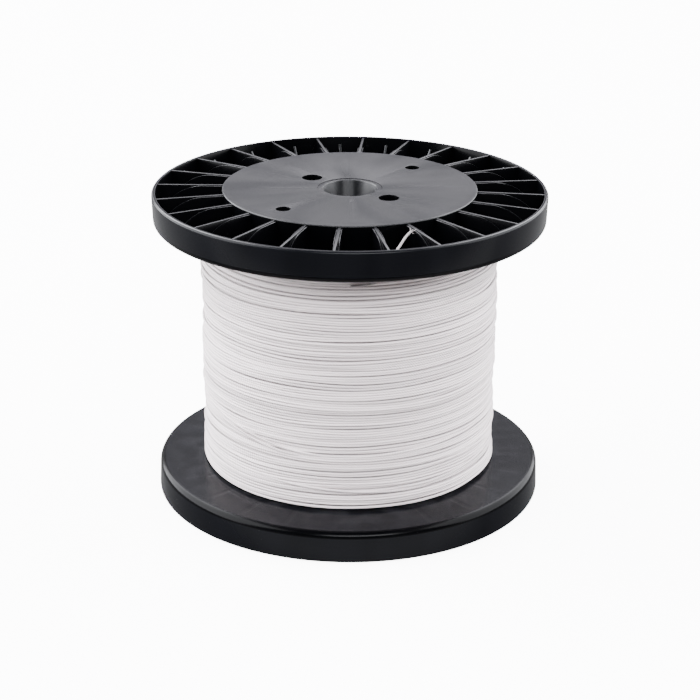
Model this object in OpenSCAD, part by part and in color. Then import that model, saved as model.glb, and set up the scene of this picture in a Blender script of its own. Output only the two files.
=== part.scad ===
// String reel: two ribbed flanges pressed on a plain barrel, with a spindle tube through the
// middle and one layer-wound length of string. Millimetres, +Z up along the spindle axis,
// origin at the centre of the foot that the reel stands on.

/* [Flanges] */
// Diameter of each flange over its rim
flange_d = 160; // [140:1:200]
// Height of each flange rim, from its outer face to the face beside the string
flange_h = 12.8; // [9:0.1:16]
// Distance between the outer faces of the two rims
rim_span = 128; // [90:1:180]
// Thickness of the rim wall at its outer face
rim_wall = 1.7; // [1.2:0.1:3]
// Thickness of the flat web that holds the string in
web_t = 1.8; // [1.2:0.1:3]
// Radius of the rim edge beside the string
rim_string_edge = 2.5; // [1:0.1:4]
// Radius of the rim edge at the outer face
rim_outer_edge = 1.2; // [0.4:0.1:1.5]

/* [Ribs] */
// Number of radial ribs in each flange
rib_count = 24; // [12:2:36]
// Thickness of each rib
rib_t = 1.2; // [0.8:0.1:2]
// Thickness of a rib over its thicker root
rib_root_t = 2.4; // [1.6:0.1:4]
// Radius of the curve that ends the thicker root
root_curve_r = 18.5; // [14:0.5:24]
// Thickness of the short gussets between the ribs
gusset_t = 1; // [0.8:0.1:2]

/* [Hub] */
// Diameter of the closed hub face
hub_d = 103; // [90:1:115]
// Height of the hub face above the rim
hub_proud = 0.6; // [0.2:0.1:1.5]
// Thickness of the hub plate
plate_t = 2.5; // [1.5:0.1:4]
// Outer diameter of the barrel that the string is wound on
barrel_d = 100; // [86:1:110]
// Wall thickness of the barrel
barrel_wall = 2.4; // [1.5:0.1:4]
// Diameter of the spindle bore
bore_d = 22; // [16:0.5:30]
// Outer diameter of the spindle tube
tube_d = 26; // [20:0.5:34]

/* [Drive holes] */
// Diameter of the two large drive holes
drive_d = 8.2; // [6:0.1:10]
// Diameter of the circle that the large drive holes lie on
drive_pcd = 41.5; // [38:0.5:60]
// Diameter of the two small drive holes
small_drive_d = 5.8; // [4:0.1:8]
// Diameter of the circle that the small drive holes lie on
small_drive_pcd = 78; // [66:0.5:90]

/* [String] */
// Diameter of the finished winding
winding_d = 121.2; // [110:0.2:150]
// Radius of the shoulder at each end of the winding
winding_shoulder = 2.6; // [1:0.1:4]
// Diameter of the string
string_d = 1.1; // [0.6:0.1:3]
// Diameter of the hole that the free end is threaded through
string_hole_d = 3.2; // [2:0.1:5]

/* [Hidden] */
$fn = 96;

black_plastic = [0.05, 0.05, 0.055];
grey_face = [0.16, 0.16, 0.17];
off_white = [0.87, 0.87, 0.85];

// Heights inside one flange are measured from the rim's outer face towards the string.
flange_r = flange_d / 2;
hub_r = hub_d / 2;
barrel_r = barrel_d / 2;
web_top = flange_h - web_t;         // floor of the pockets between the ribs
wall_draft = 0.5;                   // the rim is smaller beside the string
rim_inner_r = flange_r - rim_wall;  // at the outer face
rim_floor_r = rim_inner_r - 0.7;    // at the floor, from the draft of the pockets
web_r = flange_r - wall_draft - rim_string_edge;
plate_recess = 0.2;                 // the plate lies below the lip of the hub wall
tube_recess = 0.4;                  // the tube's end lies below the lip too
reel_h = rim_span + 2 * hub_proud;

// Rib tops fall slightly from the hub to the rim.
rib_top_hub = -0.1;
rib_top_rim = 0.4;
root_start_r = hub_r + 8;
gusset_drop = 3;
gusset_reach = 7;

rib_step = 360 / rib_count;
rib_turn = rib_step / 2;            // drive holes and gussets lie on the axes, ribs between them
drive_angle = 135;
small_drive_angle = 45;

// Centre line of the free end: off the winding, up through the web and on to a rib root.
tail_route = [
    [-3, -61.1, 108.6], [1, -61.2, 108.8], [4.5, -61.3, 109.4], [7.5, -62, 110.6],
    [9.8, -63.6, 112.2], [11.4, -65.8, 113.8], [12.2, -67.8, 115.4], [12.4, -68.8, 117.2],
    [12.5, -68.9, 119.2], [12.8, -68.2, 121], [13.4, -66.6, 122.7], [14.2, -63.9, 123.8],
    [16, -61, 125.3], [18.1, -57.4, 126.9], [20.1, -54.8, 127.9]
];
tail_hole = [12.4, -68.6];

// ---- one flange, with its outer face at height 0 and the string above it ----

// Radius of the pocket's outer wall at a given height
function pocket_wall_r(h) = rim_inner_r - (rim_inner_r - rim_floor_r) * h / web_top;

// The quarter of a round edge that lies beyond its centre, with a little overlap to join on
module edge_quarter(r, turn) {
    overlap = r / 4;
    intersection() {
        circle(r = r);
        rotate(turn) translate([-overlap, -overlap]) square(r + overlap);
    }
}

module rim_profile() {
    edge_x = flange_r - rim_outer_edge;
    wall_end = flange_h - rim_string_edge;
    difference() {
        union() {
            polygon([
                [web_r, 0], [edge_x, 0], [edge_x, rim_outer_edge], [flange_r, rim_outer_edge],
                [flange_r - wall_draft, wall_end], [web_r, wall_end]
            ]);
            translate([edge_x, rim_outer_edge]) edge_quarter(rim_outer_edge, -90);
            translate([web_r, wall_end]) intersection() {
                edge_quarter(rim_string_edge, 0);
                translate([0, -1]) square(rim_string_edge + 1);
            }
        }
        polygon([
            [web_r - 1, -1], [rim_inner_r, -1], [rim_inner_r, 0],
            [rim_floor_r, web_top], [web_r - 1, web_top]
        ]);
    }
}

module rim() {
    color(black_plastic) rotate_extrude() rim_profile();
}

module web(tail_hole_at = []) {
    color(black_plastic) difference() {
        translate([0, 0, web_top]) cylinder(r = web_r, h = web_t);
        translate([0, 0, web_top - 1]) cylinder(r = hub_r, h = web_t + 2);
        for (at = tail_hole_at)
            translate([at.x, at.y, web_top - 1]) cylinder(d = string_hole_d, h = web_t + 2);
    }
}

// Stands a profile of (radius, height) up as a plate of the given thickness
module radial_plate(thickness, side = 0) {
    rotate([90, 0, 0]) translate([0, 0, side - thickness / 2])
        linear_extrude(thickness) children();
}

module ribs() {
    color(black_plastic) for (i = [0:rib_count - 1]) rotate(rib_turn + i * rib_step)
        radial_plate(rib_t) polygon([
            [hub_r, rib_top_hub], [pocket_wall_r(rib_top_rim), rib_top_rim],
            [rim_floor_r, web_top], [hub_r, web_top]
        ]);
}

module rib_roots() {
    cheek_t = (rib_root_t - rib_t) / 2;
    cheek_side = (rib_t + cheek_t) / 2;
    color(black_plastic) for (i = [0:rib_count - 1], side = [-1, 1])
        rotate(rib_turn + i * rib_step)
            radial_plate(cheek_t, side * cheek_side) intersection() {
                union() {
                    translate([root_start_r, root_curve_r]) circle(r = root_curve_r);
                    translate([hub_r, 0]) square([root_start_r - hub_r, web_top]);
                }
                translate([hub_r, 0]) square([rim_floor_r - hub_r, web_top]);
            }
}

module gussets() {
    color(black_plastic) for (i = [0:rib_count - 1]) rotate(i * rib_step)
        radial_plate(gusset_t) polygon([
            [pocket_wall_r(gusset_drop), gusset_drop], [rim_floor_r, web_top],
            [rim_floor_r - gusset_reach, web_top]
        ]);
}

module hub_wall() {
    color(black_plastic) translate([0, 0, -hub_proud]) difference() {
        cylinder(r = hub_r, h = hub_proud + flange_h);
        translate([0, 0, -1]) cylinder(r = barrel_r, h = hub_proud + flange_h + 2);
    }
}

module hole_pair(d, pcd, angle) {
    for (turn = [0, 180]) rotate(angle + turn)
        translate([pcd / 2, 0, -1]) cylinder(d = d, h = plate_t + 2);
}

module hub_plate() {
    color(grey_face) translate([0, 0, plate_recess - hub_proud]) difference() {
        cylinder(r = barrel_r, h = plate_t);
        translate([0, 0, -1]) cylinder(d = tube_d, h = plate_t + 2);
        hole_pair(drive_d, drive_pcd, drive_angle);
        hole_pair(small_drive_d, small_drive_pcd, small_drive_angle);
    }
}

// Puts a flange part at the bottom, or turned over about the X axis at the top
module at_bottom() { translate([0, 0, hub_proud]) children(); }
module at_top() { translate([0, 0, reel_h - hub_proud]) mirror([0, 0, 1]) children(); }

module lower_rim() { at_bottom() rim(); }
module lower_web() { at_bottom() web(); }
module lower_ribs() { at_bottom() ribs(); }
module lower_rib_roots() { at_bottom() rib_roots(); }
module lower_gussets() { at_bottom() gussets(); }
module lower_hub_wall() { at_bottom() hub_wall(); }
module lower_hub_plate() { at_bottom() hub_plate(); }
module upper_rim() { at_top() rim(); }
module upper_web() { at_top() web([tail_hole]); }
module upper_ribs() { at_top() ribs(); }
module upper_rib_roots() { at_top() rib_roots(); }
module upper_gussets() { at_top() gussets(); }
module upper_hub_wall() { at_top() hub_wall(); }
module upper_hub_plate() { at_top() hub_plate(); }

// ---- the middle of the reel ----

module barrel() {
    foot = plate_recess + plate_t;
    color(black_plastic) translate([0, 0, foot]) difference() {
        cylinder(r = barrel_r, h = reel_h - 2 * foot);
        translate([0, 0, -1]) cylinder(r = barrel_r - barrel_wall, h = reel_h + 2);
    }
}

module spindle_tube() {
    color(black_plastic) translate([0, 0, tube_recess]) difference() {
        cylinder(d = tube_d, h = reel_h - 2 * tube_recess);
        translate([0, 0, -1]) cylinder(d = bore_d, h = reel_h + 2);
    }
}

module string_winding() {
    foot = hub_proud + flange_h;
    winding_h = reel_h - 2 * foot;
    outer_r = winding_d / 2;
    shoulder_r = outer_r - winding_shoulder;
    color(off_white) translate([0, 0, foot]) rotate_extrude() {
        translate([barrel_r, 0]) square([shoulder_r - barrel_r, winding_h]);
        translate([barrel_r, winding_shoulder])
            square([outer_r - barrel_r, winding_h - 2 * winding_shoulder]);
        translate([shoulder_r, winding_shoulder]) edge_quarter(winding_shoulder, -90);
        translate([shoulder_r, winding_h - winding_shoulder]) edge_quarter(winding_shoulder, 0);
    }
}

// ---- the free end of the string ----

function unit(v) = v / norm(v);
function route_heading(p, i) = unit(p[min(i + 1, len(p) - 1)] - p[max(i - 1, 0)]);

// Rings of points across a route, each square to it
function route_ring(p, i, r, sides) =
    let (ahead = route_heading(p, i),
         across = unit(cross(ahead, [0, 0, 1])),
         over = cross(across, ahead))
    [for (k = [0:sides - 1])
        p[i] + r * (cos(360 * k / sides) * across + sin(360 * k / sides) * over)];

// Cubic blend of four route points, for a smooth line between the middle two
function blend_point(a, b, c, d, t) =
    0.5 * (2 * b + (c - a) * t + (2 * a - 5 * b + 4 * c - d) * t * t
        + (3 * b - a - 3 * c + d) * t * t * t);
function smooth_route(p, steps) = [
    for (i = [0:len(p) - 2], s = [0:steps - 1])
        blend_point(p[max(i - 1, 0)], p[i], p[i + 1], p[min(i + 2, len(p) - 1)], s / steps),
    p[len(p) - 1]
];

module swept_tube(p, r, sides) {
    rings = len(p);
    skin = [for (i = [0:rings - 2], k = [0:sides - 1])
        [i * sides + k, (i + 1) * sides + k,
         (i + 1) * sides + (k + 1) % sides, i * sides + (k + 1) % sides]];
    start_cap = [for (k = [0:sides - 1]) k];
    end_cap = [for (k = [sides - 1:-1:0]) (rings - 1) * sides + k];
    polyhedron(
        points = [for (i = [0:rings - 1]) each route_ring(p, i, r, sides)],
        faces = concat([start_cap], skin, [end_cap]));
}

module string_tail() {
    ring_steps = 2;
    tube_sides = 8;
    color(off_white)
        swept_tube(smooth_route(tail_route, ring_steps), string_d / 2, tube_sides);
}

lower_rim();
lower_web();
lower_ribs();
lower_rib_roots();
lower_gussets();
lower_hub_wall();
lower_hub_plate();
upper_rim();
upper_web();
upper_ribs();
upper_rib_roots();
upper_gussets();
upper_hub_wall();
upper_hub_plate();
barrel();
spindle_tube();
string_winding();
string_tail();
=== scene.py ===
import math
import random

import bmesh
import bpy
import numpy as np
from mathutils import Matrix, Vector, noise


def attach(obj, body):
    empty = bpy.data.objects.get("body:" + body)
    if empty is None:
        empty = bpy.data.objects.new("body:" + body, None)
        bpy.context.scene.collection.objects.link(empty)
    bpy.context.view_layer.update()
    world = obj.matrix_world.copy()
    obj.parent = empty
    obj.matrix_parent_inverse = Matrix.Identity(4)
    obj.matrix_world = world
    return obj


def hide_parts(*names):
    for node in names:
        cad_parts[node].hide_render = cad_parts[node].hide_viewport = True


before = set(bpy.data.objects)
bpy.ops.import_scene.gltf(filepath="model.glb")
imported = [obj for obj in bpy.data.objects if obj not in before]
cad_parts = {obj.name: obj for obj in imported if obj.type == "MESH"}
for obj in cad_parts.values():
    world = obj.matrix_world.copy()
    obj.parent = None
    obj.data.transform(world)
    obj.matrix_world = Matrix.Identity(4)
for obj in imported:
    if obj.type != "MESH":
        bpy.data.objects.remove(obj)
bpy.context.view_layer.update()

# ---- Camera ----
# A product camera with a long lens, a little above the upper flange and turned a hair to the
# left of the reel's own front.
camera = bpy.data.objects.new("camera", bpy.data.cameras.new("camera"))
bpy.context.scene.collection.objects.link(camera)
camera.data.sensor_width = 36
camera.data.lens = 99.2
camera.data.clip_start = 0.01
camera.location = (-0.04261, -0.74628, 0.35543)
heading, drop, roll = math.radians(3.3), math.radians(21.671), math.radians(0.321)
looking = Vector((math.sin(heading) * math.cos(drop), math.cos(heading) * math.cos(drop),
                  -math.sin(drop)))
camera.rotation_euler = (looking.to_track_quat("-Z", "Y").to_matrix()
                         @ Matrix.Rotation(roll, 3, "Z")).to_euler()
bpy.context.scene.camera = camera

# ---- Flange shells: rim and web ----
# Each flange is one injection moulding in black plastic with a satin finish. This is its skin: the
# rim wall, drafted towards the string, and the flat web that the string lies against. The lower
# one is modelled here and its twin is made from it once the rest of the moulding is done.
mm = 0.001
foot_gap = 0.6 * mm      # the hub face stands this much proud of the rim


def turned(name, profile, facets=192):
    """Turns a closed profile of (radius, height) about the spindle axis, ring by ring."""
    bpy.ops.object.select_all(action="DESELECT")
    bpy.ops.mesh.primitive_circle_add(vertices=facets, radius=profile[0][0],
                                      location=(0, 0, profile[0][1]))
    piece = bpy.context.object
    piece.name = piece.data.name = name
    bpy.ops.object.mode_set(mode="EDIT")
    bpy.ops.mesh.select_all(action="SELECT")
    for (r0, z0), (r1, z1) in zip(profile, profile[1:] + profile[:1]):
        bpy.ops.mesh.extrude_edges_move(TRANSFORM_OT_translate={"value": (0, 0, z1 - z0)})
        bpy.ops.transform.resize(value=(r1 / r0, r1 / r0, 1), center_override=(0, 0, 0))
    bpy.ops.mesh.select_all(action="SELECT")
    bpy.ops.mesh.remove_doubles(threshold=1e-6)
    bpy.ops.mesh.normals_make_consistent(inside=False)
    bpy.ops.object.mode_set(mode="OBJECT")
    bpy.ops.object.transform_apply(location=True, rotation=True, scale=True)
    return piece


def pick(piece, kind, wanted):
    """In edit mode, selects just the vertices, edges or faces whose points all answer wanted."""
    bpy.ops.mesh.select_mode(type=kind)
    bpy.ops.mesh.select_all(action="DESELECT")
    mesh = bmesh.from_edit_mesh(piece.data)
    for part in {"VERT": mesh.verts, "EDGE": mesh.edges, "FACE": mesh.faces}[kind]:
        points = [part] if kind == "VERT" else part.verts
        if all(wanted(v.co) for v in points):
            part.select_set(True)
    mesh.select_flush_mode()
    bmesh.update_edit_mesh(piece.data)


def edit(piece):
    bpy.ops.object.select_all(action="DESELECT")
    piece.select_set(True)
    bpy.context.view_layer.objects.active = piece
    bpy.ops.object.mode_set(mode="EDIT")


def rounded(piece, wanted, size, segments=3):
    """Rounds the edges whose two ends answer wanted."""
    edit(piece)
    pick(piece, "EDGE", wanted)
    bpy.ops.mesh.bevel(offset=size, segments=segments, affect="EDGES")
    bpy.ops.object.mode_set(mode="OBJECT")


def on_ring(radius, height):
    return lambda p: (abs(math.hypot(p.x, p.y) - radius) < 0.02 * mm
                      and abs(p.z - height) < 0.02 * mm)


def smoothed(piece, angle=32):
    bpy.ops.object.select_all(action="DESELECT")
    piece.select_set(True)
    bpy.context.view_layer.objects.active = piece
    bpy.ops.object.shade_smooth_by_angle(angle=math.radians(angle))


rim_face, string_face, pocket_floor = foot_gap, 13.4 * mm, 11.6 * mm
shell = turned("lower_flange_shell", [
    (78.3 * mm, rim_face), (80 * mm, rim_face), (79.5 * mm, string_face),
    (51 * mm, string_face), (51 * mm, pocket_floor), (77.6 * mm, pocket_floor)], facets=240)
rounded(shell, on_ring(80 * mm, rim_face), 1.2 * mm, 5)
rounded(shell, on_ring(79.5 * mm, string_face), 2.5 * mm, 8)
rounded(shell, on_ring(78.3 * mm, rim_face), 0.22 * mm, 2)
rounded(shell, on_ring(77.6 * mm, pocket_floor), 0.5 * mm, 3)
smoothed(shell)


def make_group(name, inputs, outputs):
    """An empty shader group with named inputs (kind, value) and outputs."""
    group = bpy.data.node_groups.new(name, "ShaderNodeTree")
    for label, (kind, value) in inputs.items():
        socket = group.interface.new_socket(label, in_out="INPUT", socket_type=kind)
        if value is not None:
            socket.default_value = value
    for label, kind in outputs.items():
        group.interface.new_socket(label, in_out="OUTPUT", socket_type=kind)
    return group, group.nodes.new("NodeGroupInput"), group.nodes.new("NodeGroupOutput")


def add_node(tree, kind, sockets=None, **settings):
    """A node with its settings, and its sockets either set or linked."""
    made = tree.nodes.new(kind)
    for key, value in settings.items():
        setattr(made, key, value)
    for key, value in (sockets or {}).items():
        if isinstance(value, bpy.types.NodeSocket):
            tree.links.new(value, made.inputs[key])
        else:
            made.inputs[key].default_value = value
    return made


def ramp(tree, value, low, high, to_low=0.0, to_high=1.0):
    """A value between low and high, eased on to another range."""
    return add_node(tree, "ShaderNodeMapRange", {
        "Value": value, "From Min": low, "From Max": high, "To Min": to_low, "To Max": to_high},
        interpolation_type="SMOOTHSTEP").outputs["Result"]


def times(tree, a, b):
    return add_node(tree, "ShaderNodeMath", {0: a, 1: b}, operation="MULTIPLY").outputs[0]


def plus(tree, a, b):
    return add_node(tree, "ShaderNodeMath", {0: a, 1: b}, operation="ADD").outputs[0]


def mixed(tree, factor, a, b):
    """A blend of two colours, each given or linked."""
    return add_node(tree, "ShaderNodeMix", {0: factor, 6: a, 7: b},
                    data_type="RGBA").outputs[2]


# Spark-eroded grain of the mould, at the size of the real one
grain_group, inp, out = make_group(
    "mould_grain", {"Place": ("NodeSocketVector", None), "Scale": ("NodeSocketFloat", 2200.0)},
    {"Height": "NodeSocketFloat"})
fine = add_node(grain_group, "ShaderNodeTexNoise", {
    "Vector": inp.outputs["Place"], "Scale": inp.outputs["Scale"], "Detail": 3.0,
    "Roughness": 0.6})
grain_group.links.new(fine.outputs[0], out.inputs["Height"])

# Edges rubbed paler by handling, in broken stretches
wear_group, inp, out = make_group(
    "edge_wear", {"Place": ("NodeSocketVector", None), "Amount": ("NodeSocketFloat", 0.5)},
    {"Mask": "NodeSocketFloat"})
sharpness = add_node(wear_group, "ShaderNodeNewGeometry").outputs["Pointiness"]
patches = add_node(wear_group, "ShaderNodeTexNoise", {
    "Vector": inp.outputs["Place"], "Scale": 140.0, "Detail": 4.0}).outputs[0]
worn = times(wear_group, ramp(wear_group, sharpness, 0.51, 0.6),
             ramp(wear_group, patches, 0.42, 0.62))
wear_group.links.new(times(wear_group, worn, inp.outputs["Amount"]), out.inputs["Mask"])

# Sparse specks of dust, each a fraction of a millimetre
dust_group, inp, out = make_group(
    "dust_specks", {"Place": ("NodeSocketVector", None), "Amount": ("NodeSocketFloat", 0.5)},
    {"Mask": "NodeSocketFloat"})
cells = add_node(dust_group, "ShaderNodeTexVoronoi", {
    "Vector": inp.outputs["Place"], "Scale": 260.0, "Randomness": 1.0})
drift = add_node(dust_group, "ShaderNodeTexNoise", {
    "Vector": inp.outputs["Place"], "Scale": 60.0, "Detail": 2.0}).outputs[0]
specks = times(dust_group, ramp(dust_group, cells.outputs["Distance"], 0.05, 0.0),
               ramp(dust_group, drift, 0.5, 0.6))
dust_group.links.new(times(dust_group, specks, inp.outputs["Amount"]), out.inputs["Mask"])

# Soft flow marks that fan out from the middle of the moulding
flow_group, inp, out = make_group(
    "flow_marks", {"Place": ("NodeSocketVector", None), "Fans": ("NodeSocketFloat", 3.0)},
    {"Value": "NodeSocketFloat"})
flat = add_node(flow_group, "ShaderNodeVectorMath", {
    0: inp.outputs["Place"], 1: (1, 1, 0)}, operation="MULTIPLY").outputs[0]
spoke = add_node(flow_group, "ShaderNodeVectorMath", {0: flat}, operation="NORMALIZE").outputs[0]
fans = add_node(flow_group, "ShaderNodeVectorMath", {
    0: spoke, "Scale": inp.outputs["Fans"]}, operation="SCALE").outputs[0]
reach = add_node(flow_group, "ShaderNodeVectorMath", {0: flat, "Scale": 22.0},
                 operation="SCALE").outputs[0]
fan_place = add_node(flow_group, "ShaderNodeVectorMath", {0: fans, 1: reach},
                     operation="ADD").outputs[0]
fan = add_node(flow_group, "ShaderNodeTexNoise", {
    "Vector": fan_place, "Scale": 1.0, "Detail": 1.5, "Roughness": 0.4}).outputs[0]
flow_group.links.new(fan, out.inputs["Value"])

# Shallow sinks in the web, opposite the ribs behind it
sink_group, inp, out = make_group(
    "rib_sinks", {"Place": ("NodeSocketVector", None), "Ribs": ("NodeSocketFloat", 24.0)},
    {"Height": "NodeSocketFloat"})
split = add_node(sink_group, "ShaderNodeSeparateXYZ", {0: inp.outputs["Place"]})
bearing = add_node(sink_group, "ShaderNodeMath", {0: split.outputs[1], 1: split.outputs[0]},
                   operation="ARCTAN2").outputs[0]
beat = add_node(sink_group, "ShaderNodeMath", {0: times(sink_group, bearing,
                                                        inp.outputs["Ribs"])},
                operation="COSINE").outputs[0]
disc = add_node(sink_group, "ShaderNodeVectorMath", {
    0: inp.outputs["Place"], 1: (1, 1, 0)}, operation="MULTIPLY").outputs[0]
outward = add_node(sink_group, "ShaderNodeVectorMath", {0: disc},
                   operation="LENGTH").outputs["Value"]
on_web = times(sink_group, ramp(sink_group, outward, 0.052, 0.056),
               ramp(sink_group, outward, 0.0765, 0.073))
sink_group.links.new(times(sink_group, ramp(sink_group, beat, -0.86, -1.0), on_web),
                     out.inputs["Height"])


def moulded_black(name, roughness, grain, flow, wear, dust, fans=3.0, sinks=0.0, shine=0.5,
                  pale=1.0):
    """Black moulded plastic: a dark pigment under a soft shine, with its grain and its marks."""
    material = bpy.data.materials.new(name)
    material.use_nodes = True
    tree = material.node_tree
    shader = tree.nodes["Principled BSDF"]
    place = add_node(tree, "ShaderNodeTexCoord").outputs["Object"]
    shader.inputs["IOR"].default_value = 1.5

    def grouped(group, **values):
        made = add_node(tree, "ShaderNodeGroup", node_tree=group)
        tree.links.new(place, made.inputs["Place"])
        for key, value in values.items():
            made.inputs[key].default_value = value
        return made.outputs[0]

    worn = grouped(wear_group, Amount=wear)
    specks = grouped(dust_group, Amount=dust)
    marks = grouped(flow_group, Fans=fans)
    pigment = mixed(tree, ramp(tree, marks, 0.3, 0.7),
                    (0.0026 * pale, 0.0028 * pale, 0.0036 * pale, 1),
                    (0.0037 * pale, 0.0039 * pale, 0.0050 * pale, 1))
    rubbed = mixed(tree, worn, pigment, (0.02, 0.02, 0.022, 1))
    dusty = mixed(tree, specks, rubbed, (0.3, 0.29, 0.28, 1))
    tree.links.new(dusty, shader.inputs["Base Color"])
    tree.links.new(ramp(tree, marks, 0.3, 0.7, shine * (1 + 5 * flow), shine * (1 - 5 * flow)),
                   shader.inputs["Specular IOR Level"])
    matt = plus(tree, ramp(tree, marks, 0.3, 0.7, roughness - flow, roughness + flow),
                times(tree, specks, 0.3))
    tree.links.new(matt, shader.inputs["Roughness"])
    heights = plus(tree, times(tree, grouped(grain_group), grain),
                   times(tree, grouped(sink_group), -sinks))
    bump = add_node(tree, "ShaderNodeBump", {"Height": heights, "Distance": 0.0004,
                                             "Strength": 0.5})
    tree.links.new(bump.outputs[0], shader.inputs["Normal"])
    return material


def finished(piece, material, finish, *nodes, others=()):
    """Gives a piece its material and body, and hides the frame nodes that it stands for.

    Others are pairs of a material and a test of a face's middle and normal. They give some faces
    of one moulding another finish: a darker one as painted shade, a shinier one as a painted
    highlight;
    the real part has one plastic throughout.
    """
    piece.data.materials.clear()
    piece.data.materials.append(material)
    for number, (other, test) in enumerate(others, 1):
        piece.data.materials.append(other)
        for face in piece.data.polygons:
            if test(face.center, face.normal):
                face.material_index = number
    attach(piece, "root")
    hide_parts(*nodes)
    return piece


satin_rim = moulded_black("satin_black_rim", 0.24, 0.012, 0.006, 0.5, 0.3, fans=4.0, sinks=0.2,
                          shine=0.085)
# A darker, duller copy of the same black plastic. It is painted shade for the pockets, rib sides,
# root tops and upright faces, and it paints down the reflections on the rim's round edge by the
# string.
painted_shade_black = moulded_black("painted_shade_black_plastic", 0.2, 0.01, 0.02, 0.0, 0.1, shine=0.05,
                              pale=0.25)

# ---- Ribs ----
# 24 radial ribs, part of the same moulding, stiffen each flange. Each is a thin blade from the hub
# wall to the rim, and its root is twice as thick and curves down to the floor of the pockets.
rib_count = 24
rib_in, rib_out = 51.2 * mm, 78.6 * mm
blade_t, root_t = 1.2 * mm, 2.4 * mm
root_start, root_curve, root_out = 59.5 * mm, 18.5 * mm, 76.4 * mm


def block(name, low, high):
    """A block between two corners."""
    size = [b - a for a, b in zip(low, high)]
    middle = [(a + b) / 2 for a, b in zip(low, high)]
    bpy.ops.object.select_all(action="DESELECT")
    bpy.ops.mesh.primitive_cube_add(size=1, location=middle, scale=size)
    piece = bpy.context.object
    piece.name = piece.data.name = name
    bpy.ops.object.transform_apply(location=True, rotation=True, scale=True)
    return piece


def around(piece, count):
    """Copies all of a piece round the spindle axis."""
    edit(piece)
    bpy.ops.mesh.select_mode(type="VERT")
    bpy.ops.mesh.select_all(action="SELECT")
    for _ in range(count - 1):
        bpy.ops.mesh.duplicate()
        bpy.ops.transform.rotate(value=math.tau / count, orient_axis="Z",
                                 center_override=(0, 0, 0))
    bpy.ops.object.mode_set(mode="OBJECT")


def turned_by(piece, angle):
    edit(piece)
    bpy.ops.mesh.select_mode(type="VERT")
    bpy.ops.mesh.select_all(action="SELECT")
    bpy.ops.transform.rotate(value=angle, orient_axis="Z", center_override=(0, 0, 0))
    bpy.ops.object.mode_set(mode="OBJECT")


def root_depth(radius):
    """How far the root's top lies below the rim's outer face."""
    along = max(0.0, radius - root_start)
    return root_curve - math.sqrt(root_curve ** 2 - along ** 2)


ribs = block("lower_flange_ribs", (rib_in, -blade_t / 2, 0.5 * mm),
             (rib_out, blade_t / 2, 11.8 * mm))
for v in ribs.data.vertices:
    if v.co.z < 2 * mm and v.co.x > 60 * mm:
        v.co.z = 1 * mm
        v.co.y *= 0.8
    elif v.co.z > 2 * mm:
        v.co.y *= 1.15
rounded(ribs, lambda p: p.z < 2 * mm, 0.2 * mm, 2)

roots = block("rib_root", (rib_in, -root_t / 2, rim_face), (root_out, root_t / 2, 11.8 * mm))
edit(roots)
bpy.ops.mesh.select_mode(type="EDGE")
bpy.ops.mesh.select_all(action="DESELECT")
mesh = bmesh.from_edit_mesh(roots.data)
for e in mesh.edges:
    a, b = (v.co for v in e.verts)
    if abs(a.x - b.x) > 1 * mm:
        e.select_set(True)
bmesh.update_edit_mesh(roots.data)
bpy.ops.mesh.subdivide(number_cuts=24)
bpy.ops.object.mode_set(mode="OBJECT")
for v in roots.data.vertices:
    if v.co.z < 5 * mm:
        v.co.z = rim_face + 0.3 * mm + root_depth(v.co.x)
rounded(roots, lambda p: abs(abs(p.y) - root_t / 2) < 0.01 * mm and p.z < 11.3 * mm, 0.22 * mm, 2)
bpy.ops.object.select_all(action="DESELECT")
roots.select_set(True)
ribs.select_set(True)
bpy.context.view_layer.objects.active = ribs
bpy.ops.object.join()
around(ribs, rib_count)
turned_by(ribs, math.pi / rib_count)
smoothed(ribs)
satin_ribs = moulded_black("satin_black_ribs", 0.3, 0.05, 0.02, 0.6, 0.2, fans=9.0, shine=0.38)

# ---- Gussets ----
# Midway between the ribs a short three-cornered gusset props the rim wall, moulded with it. It
# starts 3 mm below the face of the rim and reaches 7 mm inward along the floor.
gusset_in, gusset_out = 70.6 * mm, 78.4 * mm
gussets = block("lower_flange_gussets", (gusset_in, -0.5 * mm, 3.6 * mm),
                (gusset_out, 0.5 * mm, 11.8 * mm))
for v in gussets.data.vertices:
    if v.co.z < 5 * mm and v.co.x < 75 * mm:
        v.co.z = pocket_floor - 0.1 * mm
rounded(gussets, lambda p: p.z < 11.7 * mm, 0.16 * mm, 2)
around(gussets, rib_count)
smoothed(gussets)

# ---- Hub faces ----
# The middle of the flange moulding: a wall that grips the end of the barrel and a closed plate, set
# 0.2 mm below the wall's lip, with two drive holes, two smaller ones and four gate dimples.
hub = turned("lower_hub_face", [
    (51.5 * mm, 0), (51.5 * mm, 13.35 * mm), (50.02 * mm, 13.35 * mm), (50.02 * mm, 2.68 * mm),
    (13.02 * mm, 2.68 * mm), (13.02 * mm, 0.2 * mm), (47.2 * mm, 0.2 * mm),
    (48.4 * mm, 0.17 * mm), (49.9 * mm, 0.03 * mm), (50.7 * mm, 0)])
rounded(hub, on_ring(51.5 * mm, 0), 0.5 * mm, 4)
rounded(hub, on_ring(13.02 * mm, 0.2 * mm), 0.14 * mm, 2)


def cut(piece, cutter):
    """Takes the cutter's shape out of the piece and removes the cutter."""
    bpy.ops.object.select_all(action="DESELECT")
    bpy.context.view_layer.objects.active = piece
    piece.select_set(True)
    taken = piece.modifiers.new("cut", "BOOLEAN")
    taken.object, taken.operation, taken.solver = cutter, "DIFFERENCE", "EXACT"
    bpy.ops.object.modifier_apply(modifier=taken.name)
    bpy.data.objects.remove(cutter)


def pin(radius, x, y, low, high):
    bpy.ops.object.select_all(action="DESELECT")
    bpy.ops.mesh.primitive_cylinder_add(vertices=48, radius=radius, depth=high - low,
                                        location=(x, y, (low + high) / 2))
    return bpy.context.object


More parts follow.
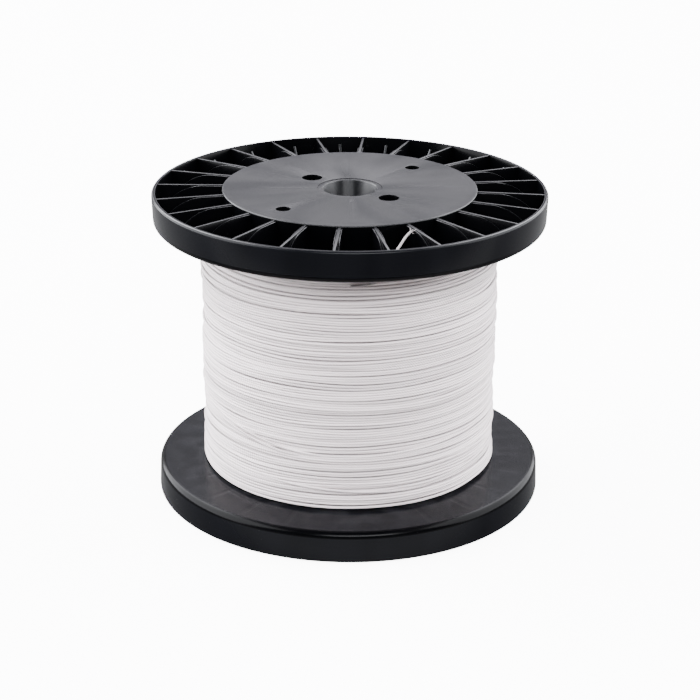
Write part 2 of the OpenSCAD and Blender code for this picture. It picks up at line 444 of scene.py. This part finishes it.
holes = [(4.1 * mm, 20.75 * mm, 135), (4.1 * mm, 20.75 * mm, 315),
         (2.9 * mm, 39 * mm, 45), (2.9 * mm, 39 * mm, 225)]
for hole_r, at_r, turn in holes:
    hx, hy = at_r * math.cos(math.radians(turn)), at_r * math.sin(math.radians(turn))
    cut(hub, pin(hole_r, hx, hy, -1 * mm, 4 * mm))
    rounded(hub, lambda p: (abs(math.hypot(p.x - hx, p.y - hy) - hole_r) < 0.02 * mm
                            and abs(p.z - 0.2 * mm) < 0.02 * mm), 0.18 * mm, 2)
dimple_r, dimple_at = 3.7 * mm, 18.8 * mm
for turn in (0, 90, 180, 270):
    bpy.ops.object.select_all(action="DESELECT")
    bpy.ops.mesh.primitive_uv_sphere_add(
        segments=48, ring_count=48, radius=dimple_r,
        location=(dimple_at * math.cos(math.radians(turn)),
                  dimple_at * math.sin(math.radians(turn)), 0.36 * mm - dimple_r))
    cut(hub, bpy.context.object)
smoothed(hub)
fine_hub = moulded_black("fine_black_hub", 0.42, 0.07, 0.075, 0.3, 0.3, fans=1.4, shine=0.25)

# ---- The upper flange ----
# The same moulding turned over, so each of its pieces is a copy of the lower one. A small hole
# drilled through its web takes the free end of the string.
reel_h = 129.2 * mm


def turned_over(piece, name):
    """A copy with its own mesh, turned over to the top of the reel."""
    bpy.ops.object.select_all(action="DESELECT")
    piece.select_set(True)
    bpy.context.view_layer.objects.active = piece
    bpy.ops.object.duplicate(linked=False)
    twin = bpy.context.object
    twin.name = twin.data.name = name
    bpy.ops.object.mode_set(mode="EDIT")
    bpy.ops.mesh.select_mode(type="VERT")
    bpy.ops.mesh.select_all(action="SELECT")
    bpy.ops.transform.resize(value=(1, 1, -1), center_override=(0, 0, reel_h / 2))
    bpy.ops.mesh.normals_make_consistent(inside=False)
    bpy.ops.object.mode_set(mode="OBJECT")
    return twin


tops = {}
for piece, kind in ((shell, "flange_shell"), (ribs, "flange_ribs"), (gussets, "flange_gussets"),
                    (hub, "hub_face")):
    tops[kind] = turned_over(piece, "upper_" + kind)
string_hole = (12.4 * mm, -68.6 * mm)
cut(tops["flange_shell"], pin(1.6 * mm, *string_hole, reel_h - 15 * mm, reel_h - 11 * mm))
smoothed(tops["flange_shell"])


def upright(middle, normal):
    return abs(normal.z) < 0.55


def dark_rib(middle, normal):
    """The sides of a rib, and the top of its root outside the first few millimetres; these take the
    painted shade.
    """
    depth = min(middle.z, reel_h - middle.z)
    outward = math.hypot(middle.x, middle.y)
    turn = math.atan2(middle.y, middle.x) / math.tau * rib_count % 1 - 0.5
    off = abs(turn) * math.tau / rib_count * outward
    blade_top = rim_face + (1 * mm - rim_face) * (outward - rib_in) / (rib_out - rib_in)
    on_root = off < 0.3 * mm and depth > blade_top + 0.1 * mm and outward > 55 * mm
    return upright(middle, normal) or on_root


def in_pocket(middle, normal):
    """The floor and outer wall of the pockets, and the sides of the string hole; these take the
    painted shade.
    """
    depth = min(middle.z, reel_h - middle.z)
    outward = math.hypot(middle.x, middle.y)
    return outward < 78.25 * mm and rim_face + 0.3 * mm < depth < string_face - 0.1 * mm


def on_rim_edge(middle, normal):
    """The two rounded edges of the rim's narrow outer face; these take a shinier finish as a painted
    highlight.
    """
    depth = min(middle.z, reel_h - middle.z)
    steep = 0.75 if math.hypot(middle.x, middle.y) > 79 * mm else 0.55
    return depth < rim_face + 1.1 * mm and steep < abs(normal.z) < 0.95


def on_string_edge(middle, normal):
    """The larger round edge of the rim beside the string; it takes the painted shade, which dims its
    reflections.
    """
    depth = min(middle.z, reel_h - middle.z)
    outward = math.hypot(middle.x, middle.y)
    return outward > 76.5 * mm and depth > 10 * mm and 0.1 <= abs(normal.z) < 0.98


# Pockets, rib sides, root tops and the upright faces of gussets and hub get the darker finish as
# painted shade; the rim's outer edges get the ribs' shinier finish as a painted highlight.
for side, pieces in (("lower", (shell, ribs, gussets, hub)), ("upper", tuple(tops.values()))):
    finished(pieces[0], satin_rim, "black_plastic", side + "_rim", side + "_web",
             others=((painted_shade_black, in_pocket), (satin_ribs, on_rim_edge),
                     (painted_shade_black, on_string_edge)))
    finished(pieces[1], satin_ribs, "black_plastic", side + "_ribs", side + "_rib_roots",
             others=((painted_shade_black, dark_rib),))
    finished(pieces[2], satin_ribs, "black_plastic", side + "_gussets",
             others=((painted_shade_black, upright),))
    finished(pieces[3], fine_hub, "black_plastic", side + "_hub_wall", side + "_hub_plate",
             others=((painted_shade_black, upright),))

# ---- Barrel ----
# A plain extruded tube of the same black plastic between the flanges, under the string. It shows
# only through the drive holes, so the frame's own solid stays.
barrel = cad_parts["barrel"]
barrel.data.materials.clear()
barrel.data.materials.append(moulded_black("plain_black_barrel", 0.45, 0.05, 0.03, 0.0, 0.2))

# ---- Spindle tube ----
# A smooth tube pressed through both hub plates, 22 mm in the bore, with a small chamfer at each
# mouth. Its ends lie a little below the plates, which shows as a fine ring.
tube_low, tube_high = 0.4 * mm, 128.8 * mm
sleeve = turned("spindle_sleeve", [
    (11 * mm, tube_low), (13 * mm, tube_low), (13 * mm, tube_high), (11 * mm, tube_high)], 128)
for end in (tube_low, tube_high):
    rounded(sleeve, on_ring(11 * mm, end), 0.35 * mm, 3)
    rounded(sleeve, on_ring(13 * mm, end), 0.12 * mm, 2)
smoothed(sleeve)
sleeve_black = moulded_black("turned_black_sleeve", 0.42, 0.01, 0.03, 0.3, 0.2, shine=0.5)
tree = sleeve_black.node_tree
shader = tree.nodes["Principled BSDF"]
shader.inputs["Anisotropic"].default_value = 0.9
shader.inputs["Anisotropic Rotation"].default_value = 0.25
around_bore = add_node(tree, "ShaderNodeTangent", direction_type="RADIAL", axis="Z")
tree.links.new(around_bore.outputs[0], shader.inputs["Tangent"])
finished(sleeve, sleeve_black, "black_plastic", "spindle_tube",
         others=((fine_hub, lambda middle, normal: abs(normal.z) > 0.3),))

# ---- String winding ----
# About 34 m of the outer layer: a synthetic string of 1.1 mm, twisted here though it may be braided,
# laid by machine from flange to flange over the layers below. The lay is a little uneven: turns
# sink, ride up and open by a fraction of a millimetre, and both ends dive into the layers below.
string_r = 0.55 * mm
turn_pitch = 1.1 * mm
steps = 200
turns = 91
first_turn = 14.4 * mm
lay_r = 59.85 * mm       # centre of the string in the outer layer
bpy.ops.object.select_all(action="DESELECT")
bpy.ops.mesh.primitive_circle_add(vertices=12, radius=string_r, location=(lay_r, 0, first_turn),
                                  rotation=(math.pi / 2, math.pi / 12, 0))
winding = bpy.context.object
winding.name = winding.data.name = "string_turns"
bpy.ops.object.transform_apply(location=True, rotation=True, scale=True)
edit(winding)
pick(winding, "VERT", lambda p: p.x < lay_r - 0.2 * mm)
bpy.ops.mesh.delete(type="VERT")
bpy.ops.object.mode_set(mode="OBJECT")
across = len(winding.data.vertices)
rise = {v.index: math.atan2(v.co.z - first_turn, v.co.x - lay_r) for v in winding.data.vertices}
sweep = winding.modifiers.new("lay", "SCREW")
sweep.axis, sweep.angle, sweep.steps, sweep.render_steps = "Z", math.tau, steps, steps
sweep.screw_offset, sweep.iterations = turn_pitch, turns
sweep.use_normal_calculate = True
bpy.ops.object.modifier_apply(modifier=sweep.name)


def lay_shift(turn):
    """How far the string lies out of true, (outwards, upwards), after this many turns."""
    a = math.tau * turn
    height = turn / turns
    ragged = 1 + 1.8 * max(0.0, (height - 0.84) / 0.16) + 0.8 * max(0.0, (0.12 - height) / 0.12)
    low = noise.noise((1.1 * math.cos(a), 1.1 * math.sin(a), turn * 0.075)) * 0.9 * mm
    step = noise.noise((turn * 0.52, 3.1, 0.4)) * 0.85 * mm * ragged
    near = noise.noise((2.2 * math.cos(a), 2.2 * math.sin(a), turn * 0.71)) * 0.45 * mm
    end = min(1.0, turn / 3, (turns - turn) / 3)
    up = noise.noise((turn * 0.93, 8.2, 2.4)) * 0.5 * mm * ragged
    wave = noise.noise((1.6 * math.cos(a), 1.6 * math.sin(a), 9 + turn * 0.37)) * 0.6 * mm
    foot = 0.4 * mm * max(0.0, min(1.0, 1.6 - 1.2 * turn))
    gap = 0.8 * mm * max(0.0, 1 - abs(turn - 1.78) / 0.4)
    dive = 1.3 * mm * max(0.0, 1 - min(turn, turns - turn) / 0.05)
    out = low + step + near + foot - gap
    return max(-0.95 * mm, min(0.55 * mm, out)) - dive, (up + wave) * end


count = len(winding.data.vertices)
places = np.empty(count * 3)
winding.data.vertices.foreach_get("co", places)
places = places.reshape(-1, 3)
step_of = np.arange(count) // across
shifts = np.array([lay_shift(s / steps) for s in range(step_of[-1] + 1)])
radius = np.hypot(places[:, 0], places[:, 1])
new_radius = radius + shifts[step_of, 0]
places[:, 0] *= new_radius / radius
places[:, 1] *= new_radius / radius
places[:, 2] += shifts[step_of, 1]
winding.data.vertices.foreach_set("co", places.ravel())
bead = 1.1 * mm          # length along the string of one turn of its twist


def lay_uv(piece, along, round_it):
    """A map that runs in twists along the string and once across it."""
    layer = piece.data.uv_layers.new(name="lay")
    at = np.empty(len(piece.data.loops), dtype=np.int64)
    piece.data.loops.foreach_get("vertex_index", at)
    layer.data.foreach_set("uv", np.stack([along[at], round_it[at]], 1).ravel())


lay_uv(winding, step_of * (math.tau * lay_r / steps / bead),
       np.array([rise[i] / math.pi + 0.5 for i in range(across)])[np.arange(count) % across])
edit(winding)
bpy.ops.mesh.select_all(action="SELECT")
bpy.ops.mesh.normals_make_consistent(inside=False)
bpy.ops.object.mode_set(mode="OBJECT")
middle = winding.data.polygons[len(winding.data.polygons) // 2]
if middle.normal.dot(Vector((middle.center.x, middle.center.y, 0))) < 0:
    winding.data.flip_normals()
bpy.ops.object.shade_smooth()

# Ridges of a right-hand twist, from the map that runs along the string; the same height paints shade
# between the plies
twist_group, inp, out = make_group(
    "string_twist", {"Lay": ("NodeSocketVector", None), "Slant": ("NodeSocketFloat", 1.2)},
    {"Height": "NodeSocketFloat"})
split = add_node(twist_group, "ShaderNodeSeparateXYZ", {0: inp.outputs["Lay"]})
slanted = plus(twist_group, split.outputs[0],
               times(twist_group, split.outputs[1], inp.outputs["Slant"]))
wave = add_node(twist_group, "ShaderNodeMath", {0: times(twist_group, slanted, math.tau)},
                operation="SINE").outputs[0]
twist_group.links.new(ramp(twist_group, wave, -1.0, 0.6), out.inputs["Height"])


def string_material(name, slant=1.2, relief=0.35, depth=0.72, white=1.0):
    """Off-white twisted filament with a soft sheen; painted shade between its plies and at its
    flanks, and random bands of painted shade and light.
    """
    material = bpy.data.materials.new(name)
    material.use_nodes = True
    tree = material.node_tree
    shader = tree.nodes["Principled BSDF"]
    shader.inputs["Roughness"].default_value = 0.42
    shader.inputs["IOR"].default_value = 1.5
    shader.inputs["Sheen Weight"].default_value = 0.15
    shader.inputs["Sheen Roughness"].default_value = 0.4
    lay = add_node(tree, "ShaderNodeUVMap", uv_map="lay").outputs[0]
    place = add_node(tree, "ShaderNodeTexCoord").outputs["Object"]
    twist = add_node(tree, "ShaderNodeGroup", node_tree=twist_group)
    tree.links.new(lay, twist.inputs["Lay"])
    twist.inputs["Slant"].default_value = slant
    # Random bands up the winding, darker or lighter: painted shade and light of sunk and riding
    # turns.
    stretched = add_node(tree, "ShaderNodeMapping", {"Vector": place, "Scale": (8, 8, 620)})
    shade_bands = add_node(tree, "ShaderNodeTexNoise", {
        "Vector": stretched.outputs[0], "Scale": 1.0, "Detail": 3.0}).outputs[0]
    # Painted shade towards the string's flanks, in the grooves where neighbouring turns meet, down
    # to depth at the edge.
    over = add_node(tree, "ShaderNodeSeparateXYZ", {0: lay}).outputs[1]
    flank = add_node(tree, "ShaderNodeMath", {
        0: add_node(tree, "ShaderNodeMath", {0: over, 1: 0.5}, operation="SUBTRACT").outputs[0]},
        operation="ABSOLUTE").outputs[0]
    # Painted shade between the plies of the twist, plus the painted bands.
    shade = plus(tree, ramp(tree, twist.outputs[0], 0.0, 1.0, -0.32, 0.0),
                 ramp(tree, shade_bands, 0.34, 0.66, -0.2, 0.04))
    value = times(tree, plus(tree, shade, 1.0), ramp(tree, flank, 0.06, 0.46, 1.0, depth))
    tint = add_node(tree, "ShaderNodeCombineColor", {
        "Red": times(tree, value, 0.95 * white), "Green": times(tree, value, 0.845 * white),
        "Blue": times(tree, value, 0.845 * white)})
    tree.links.new(tint.outputs[0], shader.inputs["Base Color"])
    fuzz = add_node(tree, "ShaderNodeTexNoise", {"Vector": place, "Scale": 5200.0,
                                                 "Detail": 2.0}).outputs[0]
    bump = add_node(tree, "ShaderNodeBump", {
        "Height": plus(tree, twist.outputs[0], times(tree, fuzz, 0.3)),
        "Distance": 0.00015, "Strength": relief})
    tree.links.new(bump.outputs[0], shader.inputs["Normal"])
    return material


white_string = string_material("off_white_string")
finished(winding, white_string, "string", "string_winding")

# ---- Layers under the outer one ----
# The string below the outer layer, seen only in the grooves between turns and as the dark shoulder
# against each flange. It is one ridged body, since no single turn of it can be followed.
under_low, under_high = string_face + 0.02 * mm, reel_h - string_face - 0.02 * mm
ridge_count = 92
ridge_step = (under_high - under_low - 5 * mm) / ridge_count
under_profile = [(50.05 * mm, under_low), (57.0 * mm, under_low), (58.0 * mm, under_low + 1 * mm)]
for k in range(ridge_count + 1):
    at_z = under_low + 2.5 * mm + k * ridge_step
    under_profile.append((58.9 * mm, at_z))
    under_profile.append((58.4 * mm, at_z + ridge_step / 2))
under_profile[-1] = (58.7 * mm, under_high - 2 * mm)
under_profile += [(58.0 * mm, under_high - 1 * mm), (57.0 * mm, under_high),
                  (50.05 * mm, under_high)]
under = turned("string_under_layers", under_profile, 160)
under_uv = np.array([(math.atan2(v.co.y, v.co.x) * 59 * mm / bead, v.co.z / turn_pitch)
                     for v in under.data.vertices])
# Its map runs up the winding past the string's flanks, so all of it takes the string's flank
# darkening in full: painted shade.
lay_uv(under, under_uv[:, 0], under_uv[:, 1])
smoothed(under, 60)
finished(under, white_string, "string", "string_winding")

# ---- Crossing turns ----
# Where the laying arm turned back, a few stretches of string ride over their neighbours at a slant
# and sink in between them again.
def swept_string(name, route, radius, sides, ply=0.0, taper=0.0):
    """A string along a route, as a closed tube with a map along it; ply cuts its three grooves."""
    route = [Vector(p) for p in route]
    mesh = bmesh.new()
    layer = mesh.loops.layers.uv.new("lay")
    ahead = [(route[min(i + 1, len(route) - 1)] - route[max(i - 1, 0)]).normalized()
             for i in range(len(route))]
    side = ahead[0].orthogonal().normalized()
    rings, along, gone = [], [], 0.0
    for i, (at, forward) in enumerate(zip(route, ahead)):
        gone += (at - route[i - 1]).length if i else 0.0
        side = (side - forward * side.dot(forward)).normalized()
        other = forward.cross(side)
        ring = []
        for k in range(sides):
            a = math.tau * k / sides
            groove = abs(math.cos(1.5 * a - math.pi * gone / bead))
            size = radius * (1 - ply * (1 - groove) ** 1.5) * (1 - taper * i / len(route))
            ring.append(mesh.verts.new(at + size * (math.cos(a) * side + math.sin(a) * other)))
        rings.append(ring)
        along.append(gone / bead)
    for i in range(len(rings) - 1):
        for k in range(sides):
            n = (k + 1) % sides
            face = mesh.faces.new((rings[i][k], rings[i][n], rings[i + 1][n], rings[i + 1][k]))
            for loop, uv in zip(face.loops, ((along[i], k / sides), (along[i], (k + 1) / sides),
                                             (along[i + 1], (k + 1) / sides),
                                             (along[i + 1], k / sides))):
                loop[layer].uv = uv
            face.smooth = True
    for ring, forward, end in ((rings[0], -ahead[0], route[0]), (rings[-1], ahead[-1], route[-1])):
        tip = mesh.verts.new(end + forward * radius * 0.35)
        for k in range(sides):
            pair = (ring[k], ring[(k + 1) % sides])
            mesh.faces.new((*pair, tip) if forward == ahead[-1] else (*reversed(pair), tip))
    data = bpy.data.meshes.new(name)
    mesh.to_mesh(data)
    mesh.free()
    piece = bpy.data.objects.new(name, data)
    bpy.context.scene.collection.objects.link(piece)
    edit(piece)
    bpy.ops.mesh.select_all(action="SELECT")
    bpy.ops.mesh.normals_make_consistent(inside=False)
    bpy.ops.object.mode_set(mode="OBJECT")
    return piece


crossings = []
# (from angle, to angle, from height, to height)
for number, (start, stop, low, high) in enumerate((
        (188, 262, 45.2, 37.0), (300, 352, 31.2, 28.6), (206, 250, 41.5, 36.2),
        (262, 330, 37.0, 39.4), (20, 92, 72, 66), (100, 168, 34, 41), (214, 300, 24.6, 20.8),
        (286, 356, 22.3, 25.6), (30, 120, 101, 96), (232, 290, 108.5, 111.2))):
    route = []
    for i in range(91):
        s = i / 90
        a = math.radians(start + (stop - start) * s)
        sunk = max(0.0, 1 - min(s, 1 - s) / 0.22)
        r = lay_r + 0.28 * mm - 0.75 * mm * sunk ** 2
        z = (low + (high - low) * (3 * s * s - 2 * s ** 3)) * mm
        route.append((r * math.cos(a), r * math.sin(a), z))
    crossings.append(swept_string(f"crossing_{number}", route, string_r * 0.95, 12))
bpy.ops.object.select_all(action="DESELECT")
for piece in crossings:
    piece.select_set(True)
bpy.context.view_layer.objects.active = crossings[0]
bpy.ops.object.join()
crossing = crossings[0]
crossing.name = crossing.data.name = "string_crossing_turns"
finished(crossing, white_string, "string", "string_winding")

# ---- Free end of the string ----
# The last few centimetres of the same string: off the winding, up through the hole in the upper web
# and to the side of a rib's root, where the cut end has begun to fray. Its white is set lower than
# the winding's as painted shade: a darker copy of the same string, also used for the frays.
tail_points = [(-3, -61.1, 108.6), (1, -61.2, 108.8), (4.5, -61.3, 109.4), (7.5, -62, 110.6),
               (9.8, -63.6, 112.2), (11.4, -65.8, 113.8), (12.2, -67.8, 115.4),
               (12.4, -68.8, 117.2), (12.5, -68.9, 119.2), (12.8, -68.2, 121),
               (13.4, -66.6, 122.7), (14.2, -63.9, 123.8), (16, -61, 125.3),
               (18.1, -57.4, 126.9), (20.1, -54.8, 127.9)]


def smooth_route(points, steps_between):
    """A smooth line through the points, closely spaced."""
    points = [Vector(p) * mm for p in points]
    line = []
    for i in range(len(points) - 1):
        a, b = points[max(i - 1, 0)], points[i]
        c, d = points[i + 1], points[min(i + 2, len(points) - 1)]
        for s in range(steps_between):
            t = s / steps_between
            line.append(0.5 * (2 * b + (c - a) * t + (2 * a - 5 * b + 4 * c - d) * t * t
                               + (3 * b - a - 3 * c + d) * t ** 3))
    return line + [points[-1]]


tail_route = smooth_route(tail_points, 16)
tail_r = 0.5 * mm        # a little less than in the winding, where the string lies flattened
tail = swept_string("string_free_end", tail_route, tail_r, 24, ply=0.45)
# The same string with its white at 0.42: painted shade.
shaded_tail_string = string_material("free_end_string_shaded", slant=3.0, relief=0.2, depth=1.0, white=0.42)
finished(tail, shaded_tail_string, "string", "string_tail")
rng = random.Random(7)
tip, last = tail_route[-1], (tail_route[-1] - tail_route[-3]).normalized()
frays = []
for number in range(9):
    away = Vector((rng.uniform(-1, 1), rng.uniform(-1, 1), rng.uniform(-0.9, 0.7)))
    reach = rng.uniform(1.0, 2.6) * mm
    root = tip + 0.25 * mm * away - 0.3 * mm * last
    bend = (last + 0.45 * away).normalized()
    curl = (0.5 * last + away).normalized()
    strand = [root + bend * reach * s / 8 + curl * reach * 0.5 * (s / 8) ** 2 for s in range(9)]
    frays.append(swept_string(f"fray_{number}", strand, 0.13 * mm, 6, taper=0.5))
bpy.ops.object.select_all(action="DESELECT")
for piece in frays:
    piece.select_set(True)
bpy.context.view_layer.objects.active = frays[0]
bpy.ops.object.join()
fray = frays[0]
fray.name = fray.data.name = "string_end_frays"
fray.data.materials.append(shaded_tail_string)
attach(fray, "root")

# ---- Floor and light ----
# A plain white sweep, with soft boxes to the left, right, front, above and behind, in a dim studio.
# The floor shows white to the camera, but reflections see a dull one with two soft bright bands.
bpy.ops.object.select_all(action="DESELECT")
bpy.ops.mesh.primitive_plane_add(size=8, location=(0, 0, 0))
floor = bpy.context.object
floor.name = "floor"
floor_material = bpy.data.materials.new("white_sweep")
floor_material.use_nodes = True
tree = floor_material.node_tree
tree.nodes.clear()
seen = add_node(tree, "ShaderNodeLightPath").outputs["Is Camera Ray"]
matt = add_node(tree, "ShaderNodeBsdfDiffuse", {"Color": (0.7, 0.7, 0.7, 1)})
dull = add_node(tree, "ShaderNodeBsdfDiffuse", {"Color": (0.05, 0.05, 0.05, 1)})
glow = add_node(tree, "ShaderNodeEmission", {"Strength": 9.0})
lit = add_node(tree, "ShaderNodeAddShader", {0: matt.outputs[0], 1: glow.outputs[0]})
where = add_node(tree, "ShaderNodeSeparateXYZ", {
    0: add_node(tree, "ShaderNodeTexCoord").outputs["Object"]}).outputs[1]
near_glow = times(tree, ramp(tree, where, -0.06, -0.09, 0.0, 1.5), ramp(tree, where, -0.28, -0.15))
far_glow = add_node(tree, "ShaderNodeEmission", {
    "Strength": plus(tree, near_glow, ramp(tree, where, -0.16, 0.12, 0.0, 0.6))})
unseen = add_node(tree, "ShaderNodeAddShader", {0: dull.outputs[0], 1: far_glow.outputs[0]})
chosen = add_node(tree, "ShaderNodeMixShader", {0: seen, 1: unseen.outputs[0],
                                                2: lit.outputs[0]})
add_node(tree, "ShaderNodeOutputMaterial", {"Surface": chosen.outputs[0]})
floor.data.materials.append(floor_material)

world = bpy.data.worlds.new("studio")
bpy.context.scene.world = world
world.use_nodes = True
tree = world.node_tree
tree.nodes.clear()
seen = add_node(tree, "ShaderNodeLightPath").outputs["Is Camera Ray"]
dim = add_node(tree, "ShaderNodeBackground", {"Color": (1, 1, 1, 1), "Strength": 0.06})
white = add_node(tree, "ShaderNodeBackground", {"Color": (1, 1, 1, 1), "Strength": 12.0})
chosen = add_node(tree, "ShaderNodeMixShader", {0: seen, 1: dim.outputs[0], 2: white.outputs[0]})
add_node(tree, "ShaderNodeOutputWorld", {"Surface": chosen.outputs[0]})


def soft_box(name, place, size, brightness, colour=(1, 1, 1)):
    """A soft box of (width, height) that faces the reel, by the brightness of its face."""
    light = bpy.data.lights.new(name, "AREA")
    light.shape, light.size, light.size_y = "RECTANGLE", size[0], size[1]
    light.energy = brightness * math.pi * size[0] * size[1]
    light.color = colour
    box = bpy.data.objects.new(name, light)
    box.location = place
    aim = Vector((0, 0, reel_h / 2)) - Vector(place)
    box.rotation_euler = aim.to_track_quat("-Z", "Y").to_euler()
    box.visible_camera = False
    bpy.context.scene.collection.objects.link(box)


soft_box("left_box", (-1.5, 0.4, 1.0), (3.2, 2.2), 14.0, (0.95, 0.96, 1.0))
soft_box("right_box", (1.5, 0.4, 1.0), (3.2, 2.2), 9.8, (0.95, 0.96, 1.0))
soft_box("front_box", (0.1, -1.2, 0.95), (1.0, 0.42), 25.0, (0.95, 0.96, 1.0))
soft_box("back_top_box", (0, 1.1, 1.05), (1.7, 0.6), 4.6, (0.95, 0.93, 1.0))
soft_box("back_wall", (0, 2.4, 0.75), (5.0, 1.5), 0.8, (0.95, 0.93, 1.0))
